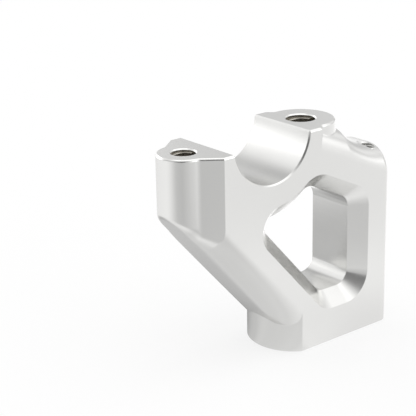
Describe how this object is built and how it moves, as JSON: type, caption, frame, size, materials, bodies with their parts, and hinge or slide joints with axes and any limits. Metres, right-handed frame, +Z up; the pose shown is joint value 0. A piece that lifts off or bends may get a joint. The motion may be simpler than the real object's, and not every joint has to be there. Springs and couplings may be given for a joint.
{
  "type": "motorcycle bar riser",
  "caption": "Machined handlebar riser: flat base, diagonal strut, open window, and two posts with tapped holes around a half-round bar cradle.",
  "frame": {"origin": "on the base plane, at the middle of the base from nose to rear face, midway between the side faces", "axes": "+Z up from the base, Y along the handlebar, +X from the front post to the rear face"},
  "size_m": [0.089, 0.0274, 0.0777],
  "materials": {
    "satin_aluminium": "satin, bead blasted and clear anodised"
  },
  "bodies": {
    "root": {"riser_body": "satin_aluminium"}
  },
  "joints": []
}
